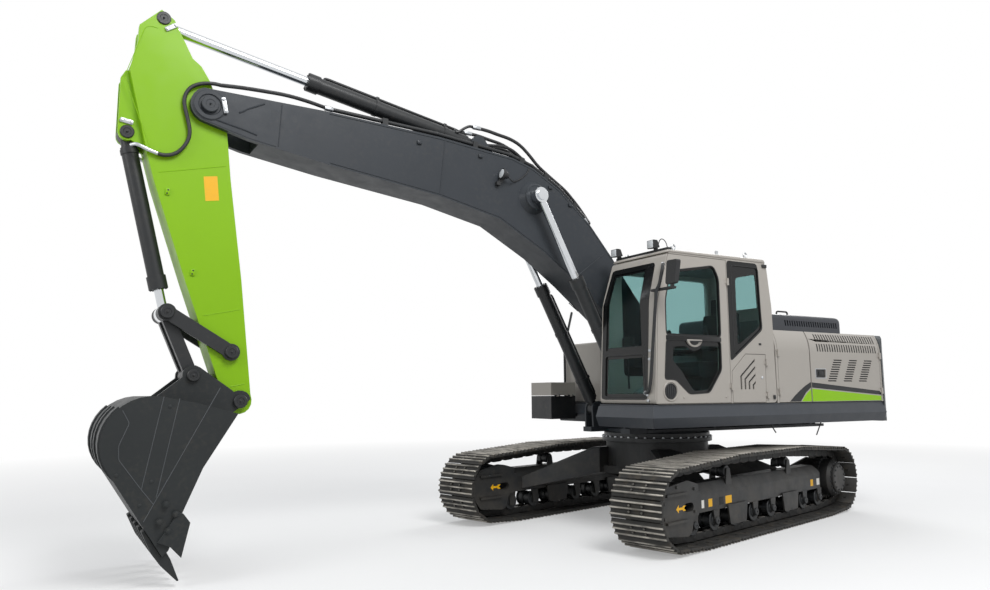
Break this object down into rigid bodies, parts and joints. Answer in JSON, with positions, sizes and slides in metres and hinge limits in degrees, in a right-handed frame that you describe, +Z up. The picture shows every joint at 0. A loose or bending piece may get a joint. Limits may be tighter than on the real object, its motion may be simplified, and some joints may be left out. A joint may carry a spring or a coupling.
{
  "type": "crawler excavator",
  "caption": "Crawler excavator with a slewing cab and housing on steel tracks, a cranked boom, an arm and a toothed digging bucket moved by hydraulic cylinders.",
  "frame": {"origin": "on the ground under the slewing axis", "axes": "+X along the boom, +Y to the operator's left, +Z up"},
  "size_m": [9.5729, 4.1668, 5.1305],
  "materials": {
    "warm_grey_paint": "gloss",
    "slate_paint": "satin",
    "weight_paint": "satin",
    "lime_paint": "gloss",
    "black_paint": "satin",
    "track_steel": "worn",
    "bucket_steel": "satin",
    "rod_chrome": "polished",
    "tinted_glass": "tinted",
    "seat_fabric": "woven",
    "console_plastic": "matt"
  },
  "bodies": {
    "undercarriage": {"car_body": "black_paint", "slew_ring": "black_paint", "track_frame_left": "black_paint", "track_frame_right": "black_paint", "track_left": "track_steel", "track_right": "track_steel", "rollers_left": "black_paint", "rollers_right": "black_paint", "sprocket_left": "black_paint", "sprocket_right": "black_paint"},
    "upper": {"deck": "slate_paint", "center_frame": "slate_paint", "counterweight": "weight_paint", "engine": "black_paint", "housing_frame": "warm_grey_paint", "tanks": "warm_grey_paint", "tool_box": "black_paint", "handrails": "black_paint", "cab_frame": "warm_grey_paint", "cab_roof": "warm_grey_paint", "cab_glass": "tinted_glass", "cab_seat": "seat_fabric", "cab_console": "console_plastic", "mirror": "black_paint", "roof_lamps": "black_paint"},
    "cab_door": {"cab_door": "warm_grey_paint", "door_glass": "tinted_glass"},
    "service_door": {"service_door": "warm_grey_paint"},
    "left_front_door": {"left_front_door": "warm_grey_paint"},
    "left_rear_door": {"left_rear_door": "warm_grey_paint"},
    "pump_door": {"pump_door": "warm_grey_paint"},
    "hood": {"hood": "slate_paint"},
    "tool_box_lid": {"tool_box_lid": "warm_grey_paint"},
    "boom": {"boom": "slate_paint", "boom_lines": "black_paint", "boom_lamp": "black_paint"},
    "boom_barrel_left": {"boom_barrel_left": "black_paint"},
    "boom_barrel_right": {"boom_barrel_right": "black_paint"},
    "boom_rod_left": {"boom_rod_left": "rod_chrome"},
    "boom_rod_right": {"boom_rod_right": "rod_chrome"},
    "arm_barrel": {"arm_barrel": "black_paint"},
    "arm_rod": {"arm_rod": "rod_chrome"},
    "arm": {"arm": "lime_paint"},
    "bucket_barrel": {"bucket_barrel": "black_paint"},
    "bucket_rod": {"bucket_rod": "rod_chrome"},
    "rocker_links": {"rocker_links": "slate_paint"},
    "bucket_link": {"bucket_link": "slate_paint"},
    "bucket": {"bucket": "bucket_steel", "bucket_teeth": "bucket_steel", "side_cutters": "bucket_steel"}
  },
  "joints": [
    {"name": "swing", "type": "hinge", "parent": "undercarriage", "child": "upper", "pos_m": [0, 0, 1.067], "axis": [0, 0, 1], "continuous": true},
    {"name": "boom_lift", "type": "hinge", "parent": "upper", "child": "boom", "pos_m": [0.1, 0, 2.02], "axis": [0, -1, 0], "range_deg": [-60, 35]},
    {"name": "arm_swing", "type": "hinge", "parent": "boom", "child": "arm", "pos_m": [5.66, 0, 4.26], "axis": [0, 1, 0], "range_deg": [-84, 31]},
    {"name": "bucket_curl", "type": "hinge", "parent": "arm", "child": "bucket", "pos_m": [5.285, 0, 1.5], "axis": [0, 1, 0], "range_deg": [-12, 158]},
    {"name": "boom_barrel_left_tilt", "type": "hinge", "parent": "upper", "child": "boom_barrel_left", "pos_m": [0.7, 0.37, 1.35], "axis": [0, -1, 0], "range_deg": [-57.43, 33.59]},
    {"name": "boom_rod_left_stroke", "type": "slide", "parent": "boom_barrel_left", "child": "boom_rod_left", "axis": [0.4698, 0, 0.8827], "range_m": [-0.8683, 0.5073]},
    {"name": "boom_barrel_right_tilt", "type": "hinge", "parent": "upper", "child": "boom_barrel_right", "pos_m": [0.7, -0.37, 1.35], "axis": [0, -1, 0], "range_deg": [-57.43, 33.59]},
    {"name": "boom_rod_right_stroke", "type": "slide", "parent": "boom_barrel_right", "child": "boom_rod_right", "axis": [0.4698, 0, 0.8827], "range_m": [-0.8683, 0.5073]},
    {"name": "arm_barrel_tilt", "type": "hinge", "parent": "boom", "child": "arm_barrel", "pos_m": [2.675, 0, 4.415], "axis": [0, 1, 0], "range_deg": [-5.68, 2.22]},
    {"name": "arm_rod_stroke", "type": "slide", "parent": "arm_barrel", "child": "arm_rod", "axis": [0.9836, 0, 0.1803], "range_m": [-1.1427, 0.423]},
    {"name": "bucket_barrel_tilt", "type": "hinge", "parent": "arm", "child": "bucket_barrel", "pos_m": [6.335, 0, 3.92], "axis": [0, 1, 0], "range_deg": [-0.318, 0.209]},
    {"name": "bucket_rod_stroke", "type": "slide", "parent": "bucket_barrel", "child": "bucket_rod", "axis": [-0.2362, 0, -0.9717], "range_m": [-0.0851, 1.0956]},
    {"name": "rocker_turn", "type": "hinge", "parent": "arm", "child": "rocker_links", "pos_m": [5.375, 0, 1.95], "axis": [0, 1, 0], "range_deg": [-8.55, 110.14]},
    {"name": "bucket_link_turn", "type": "hinge", "parent": "bucket", "child": "bucket_link", "pos_m": [5.7, 0, 1.735], "axis": [0, 1, 0], "range_deg": [-118.72, 9.2]},
    {"name": "cab_door_hinge", "type": "hinge", "parent": "upper", "child": "cab_door", "pos_m": [0.112, 1.396, 2.22], "axis": [0, 0, 1], "range_deg": [0, 165]},
    {"name": "service_door_hinge", "type": "hinge", "parent": "upper", "child": "service_door", "pos_m": [-0.489, 1.396, 1.7], "axis": [0, 0, -1], "range_deg": [-85, 0]},
    {"name": "left_front_door_hinge", "type": "hinge", "parent": "upper", "child": "left_front_door", "pos_m": [-0.702, 1.396, 1.79], "axis": [0, 0, 1], "range_deg": [-85, 0]},
    {"name": "left_rear_door_hinge", "type": "hinge", "parent": "upper", "child": "left_rear_door", "pos_m": [-2.723, 1.396, 1.79], "axis": [0, 0, 1], "range_deg": [0, 100]},
    {"name": "pump_door_hinge", "type": "hinge", "parent": "upper", "child": "pump_door", "pos_m": [-2.723, -1.396, 1.79], "axis": [0, 0, -1], "range_deg": [0, 100]},
    {"name": "hood_hinge", "type": "hinge", "parent": "upper", "child": "hood", "pos_m": [-2.276, 0.425, 2.316], "axis": [0, -1, 0], "range_deg": [0, 75]},
    {"name": "tool_box_lid_hinge", "type": "hinge", "parent": "upper", "child": "tool_box_lid", "pos_m": [0.81, -0.884, 1.523], "axis": [-1, 0, 0], "range_deg": [0, 80]}
  ],
  "couplings": [
    {"joint": "boom_barrel_left_tilt", "follows": "boom_lift", "ratio": 0.95386},
    {"joint": "boom_rod_left_stroke", "follows": "boom_lift", "m_per_rad": 0.82724},
    {"joint": "boom_barrel_right_tilt", "follows": "boom_lift", "ratio": 0.95386},
    {"joint": "boom_rod_right_stroke", "follows": "boom_lift", "m_per_rad": 0.82724},
    {"joint": "arm_barrel_tilt", "follows": "arm_swing", "ratio": 0.06522},
    {"joint": "arm_rod_stroke", "follows": "arm_swing", "m_per_rad": 0.77805},
    {"joint": "bucket_barrel_tilt", "follows": "bucket_curl", "ratio": -0.00075},
    {"joint": "bucket_rod_stroke", "follows": "bucket_curl", "m_per_rad": 0.39658},
    {"joint": "rocker_turn", "follows": "bucket_curl", "ratio": 0.69583},
    {"joint": "bucket_link_turn", "follows": "bucket_curl", "ratio": -0.75015}
  ]
}
